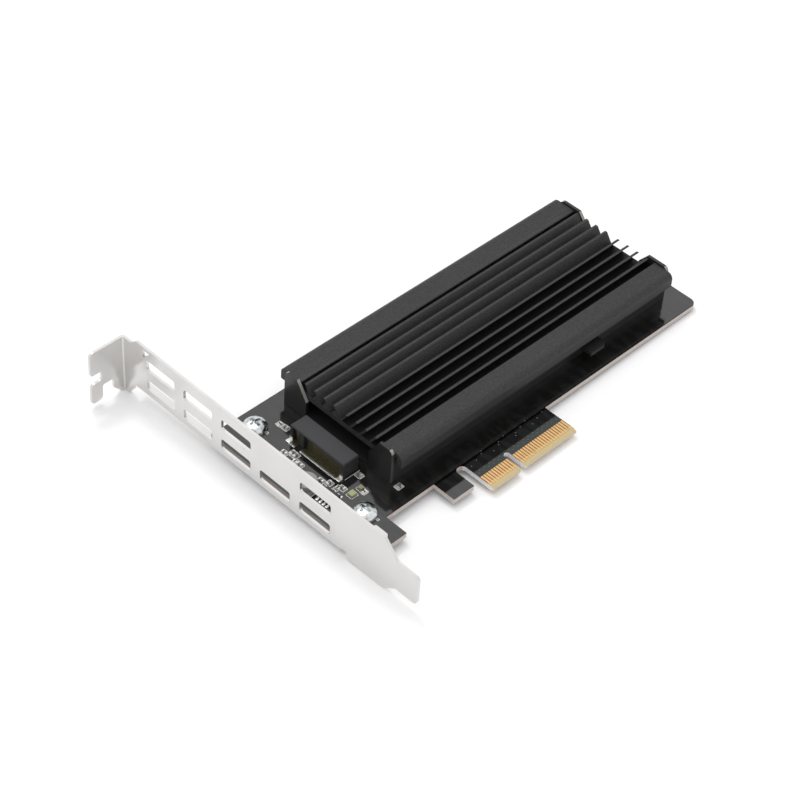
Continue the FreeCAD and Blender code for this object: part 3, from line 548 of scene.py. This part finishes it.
def printed_outline(work, low, high):
    """Four white bars round a part, open at the corners."""
    left, right = low.x - PRINT_GAP, high.x + PRINT_GAP
    near, far = low.y - PRINT_GAP, high.y + PRINT_GAP
    for y in (near, far):
        add_block(work, Vector((left, y - PRINT_WIDE / 2, 0.0)),
                  Vector((right, y + PRINT_WIDE / 2, PRINT_TALL)))
    for x in (left, right):
        add_block(work, Vector((x - PRINT_WIDE / 2, near + PRINT_WIDE, 0.0)),
                  Vector((x + PRINT_WIDE / 2, far - PRINT_WIDE, PRINT_TALL)))


def board_print():
    """White outlines round the small parts, marks beside the screws, a line by the socket."""
    work = bmesh.new()
    for name in ("ceramic_capacitors", "chip_resistors"):
        for low, high in solids_of(name):
            along_x = high.x - low.x < BODY_LONG and high.y - low.y < BODY_WIDE
            grow = Vector((0.4, 0.25, 0.0)) if along_x else Vector((0.25, 0.4, 0.0))
            printed_outline(work, low - grow * MM, high + grow * MM)
    for name in ("status_lamp", "power_inductor", "clock_crystal"):
        printed_outline(work, *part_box(name))
    for x, y in MARK_PLACES:
        for step in (0.0, MARK_STEP):
            start = Vector((x + step, y - 0.5, 0.0)) * MM
            add_block(work, start, start + Vector((MARK_WIDE, MARK_LONG, PRINT_TALL)))
    low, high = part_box("drive_socket_housing")
    add_block(work, Vector((low.x + LINE_INSET, low.y - LINE_NEAR, 0.0)),
              Vector((high.x, low.y - LINE_FAR, PRINT_TALL)))
    finished("white_board_print", work, "print_white", smooth=0)


VIA_WIDE, VIA_TOP, VIA_TALL = 0.2 * MM, 0.13 * MM, 0.04 * MM


def board_vias():
    """Low raised vias: a zigzag row past the edge contacts, a loose row, and power vias."""
    work = bmesh.new()
    low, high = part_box("edge_contacts_component_side")
    spots = [(low.x + (0.85 + step) * MM, high.y + (1.3 + 0.9 * (step % 2)) * MM)
             for step in range(33)]
    spots += [(x * MM, y * MM) for x in (5.4, 8.6) for y in (-61.0, -62.6, -64.2)]
    spots += [(low.x + (1.2 + 2.1 * step + 0.7 * (step % 3)) * MM,
               high.y + (4.6 + 0.8 * (step * 5 % 4)) * MM) for step in range(15)]
    for x, y in spots:
        bmesh.ops.create_cone(work, cap_ends=True, segments=12, radius1=VIA_WIDE,
                              radius2=VIA_TOP, depth=VIA_TALL,
                              matrix=Matrix.Translation((x, y, VIA_TALL / 2)))
    finished("board_vias", work, "masked_via")


BAND_FROM_MIDDLE = 17.0 * MM
LIP_WIDE = 1.25 * MM
LIP_THICK = 0.7 * MM
LIP_END = 0.02 * MM
LIP_OVERLAP = 0.1 * MM
LIP_SUNK = 0.004 * MM
LIP_EASE = 0.12 * MM


def band_lip():
    """A thin lip on the inner edge of the cover's wide flat band, over the first channel."""
    work = bmesh.new()
    low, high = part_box("heatsink_cover")
    inner = (low.y + high.y) / 2 + BAND_FROM_MIDDLE
    add_block(work, Vector((low.x + LIP_END, inner - LIP_WIDE, high.z - LIP_THICK)),
              Vector((high.x - LIP_END, inner + LIP_OVERLAP, high.z - LIP_SUNK)), LIP_EASE)
    finished("cover_band_lip", work, "anodised_aluminium")


def add_details():
    """The pieces that the visual model adds to the card."""
    band_lip()
    bracket_screws()
    solder_fillets()
    tail_pads()
    board_print()
    board_vias()


# ---- studio -----------------------------------------------------------------------------------

CAMERA_PLACE = Vector((-288.23, -371.271, 444.973)) * MM
CAMERA_AIM = Vector((57.201, -56.847, -7.579)) * MM
CAMERA_ROLL = math.radians(4.21)
CAMERA_LENS = 100.112

FLANGE_FROM = -5 * MM
SHOULDER_TO = -100 * MM
SCREW_FROM, SCREW_TO = 130 * MM, -70 * MM
FLOOR_GAP = 0.02 * MM


def place_camera():
    """A camera above the bracket's corner of the card, turned a little about its own axis."""
    camera = bpy.data.cameras.new("studio_camera")
    camera.lens = CAMERA_LENS
    camera.sensor_width = 36.0
    camera.clip_start = 0.01
    holder = bpy.data.objects.new("studio_camera", camera)
    bpy.context.scene.collection.objects.link(holder)
    forward = (CAMERA_AIM - CAMERA_PLACE).normalized()
    level = forward.cross(Vector((0.0, 0.0, 1.0))).normalized()
    upright = level.cross(forward)
    right = level * math.cos(CAMERA_ROLL) + upright * math.sin(CAMERA_ROLL)
    top = right.cross(forward)
    turn = Matrix((right, top, -forward)).transposed().to_4x4()
    holder.matrix_world = Matrix.Translation(CAMERA_PLACE) @ turn
    bpy.context.scene.camera = holder


def lowest(name, keep):
    """The lowest corner of a node among those that pass the test."""
    corners = [vert.co for vert in nodes[name].data.vertices if keep(vert.co)]
    return min(corners, key=lambda place: place.z).copy()


def lay_floor():
    """A floor along the card's three feet, lowered until it clears every other point.

    The feet are the bracket's flange, its far shoulder and one frame screw.
    """
    flange = lowest("io_bracket", lambda place: place.y > FLANGE_FROM)
    shoulder = lowest("io_bracket", lambda place: place.y < SHOULDER_TO)
    screw = lowest("frame_screws", lambda place: place.x > SCREW_FROM and place.y < SCREW_TO)
    normal = (shoulder - flange).cross(screw - flange).normalized()
    if normal.z < 0:
        normal.negate()
    work = bmesh.new()
    bmesh.ops.create_grid(work, x_segments=8, y_segments=8, size=3.0)
    turn = Vector((0.0, 0.0, 1.0)).rotation_difference(normal).to_matrix().to_4x4()
    under = min((vert.co - flange).dot(normal)
                for node in nodes.values() for vert in node.data.vertices)
    rest = flange + normal * (under - FLOOR_GAP)
    bmesh.ops.transform(work, matrix=Matrix.Translation(rest) @ turn, verts=work.verts)
    mesh = bpy.data.meshes.new("studio_floor")
    work.to_mesh(mesh)
    work.free()
    floor = bpy.data.objects.new("studio_floor", mesh)
    bpy.context.scene.collection.objects.link(floor)
    finish = Finish("studio_floor", (0.93, 0.93, 0.935), 0.9, Specular_IOR_Level=0.0)
    cloud = finish.noise(60.0, 2.0)
    finish.set(**{"Base Color": finish.mix(cloud, (0.925, 0.925, 0.93), (0.935, 0.935, 0.94))})
    seen = finish.node("ShaderNodeLightPath", output="Is Camera Ray")
    mirrored = finish.node("ShaderNodeLightPath", output="Is Glossy Ray")
    finish.surface.inputs["Emission Color"].default_value = (1.0, 1.0, 1.0, 1.0)
    finish.set(**{"Emission Strength": (seen + mirrored) * 0.07})
    mesh.materials.append(finish.material)


def light_studio():
    """Plain light from all sides, brighter where it is only looked at, and two soft lamps."""
    world = bpy.data.worlds.new("studio_world")
    bpy.context.scene.world = world
    world.use_nodes = True
    tree = world.node_tree
    sky = tree.nodes["Background"]
    path = tree.nodes.new("ShaderNodeLightPath")
    looked_at = path.outputs["Is Camera Ray"]
    for kind in ("Is Glossy Ray", "Is Transmission Ray"):
        either = tree.nodes.new("ShaderNodeMath")
        either.operation = "MAXIMUM"
        tree.links.new(looked_at, either.inputs[0])
        tree.links.new(path.outputs[kind], either.inputs[1])
        looked_at = either.outputs[0]
    level = tree.nodes.new("ShaderNodeMapRange")
    tree.links.new(looked_at, level.inputs["Value"])
    level.inputs["To Min"].default_value = 0.82
    level.inputs["To Max"].default_value = 1.0
    tree.links.new(level.outputs[0], sky.inputs["Strength"])
    sky.inputs["Color"].default_value = (1.0, 1.0, 1.0, 1.0)

    sun = bpy.data.lights.new("broad_light", "SUN")
    sun.energy = 0.55
    sun.angle = math.radians(50.0)
    aim_lamp(sun, Vector((-0.1, 0.25, 1.0)), 1.0)

    box = bpy.data.lights.new("small_softbox", "AREA")
    box.shape = "DISK"
    box.size = 0.16
    box.energy = 0.9
    aim_lamp(box, Vector((0.1, 0.45, 0.8)), 0.75)


def aim_lamp(lamp, direction, distance):
    """A lamp this far from the card along the direction, aimed at its middle."""
    holder = bpy.data.objects.new(lamp.name, lamp)
    bpy.context.scene.collection.objects.link(holder)
    low, high = cad_box
    middle = (low + high) / 2
    toward = direction.normalized()
    turn = toward.to_track_quat("Z", "Y").to_matrix().to_4x4()
    holder.matrix_world = Matrix.Translation(middle + toward * distance) @ turn


dress_nodes()
add_details()
lay_floor()
light_studio()
place_camera()
bpy.context.scene.view_settings.view_transform = "Standard"
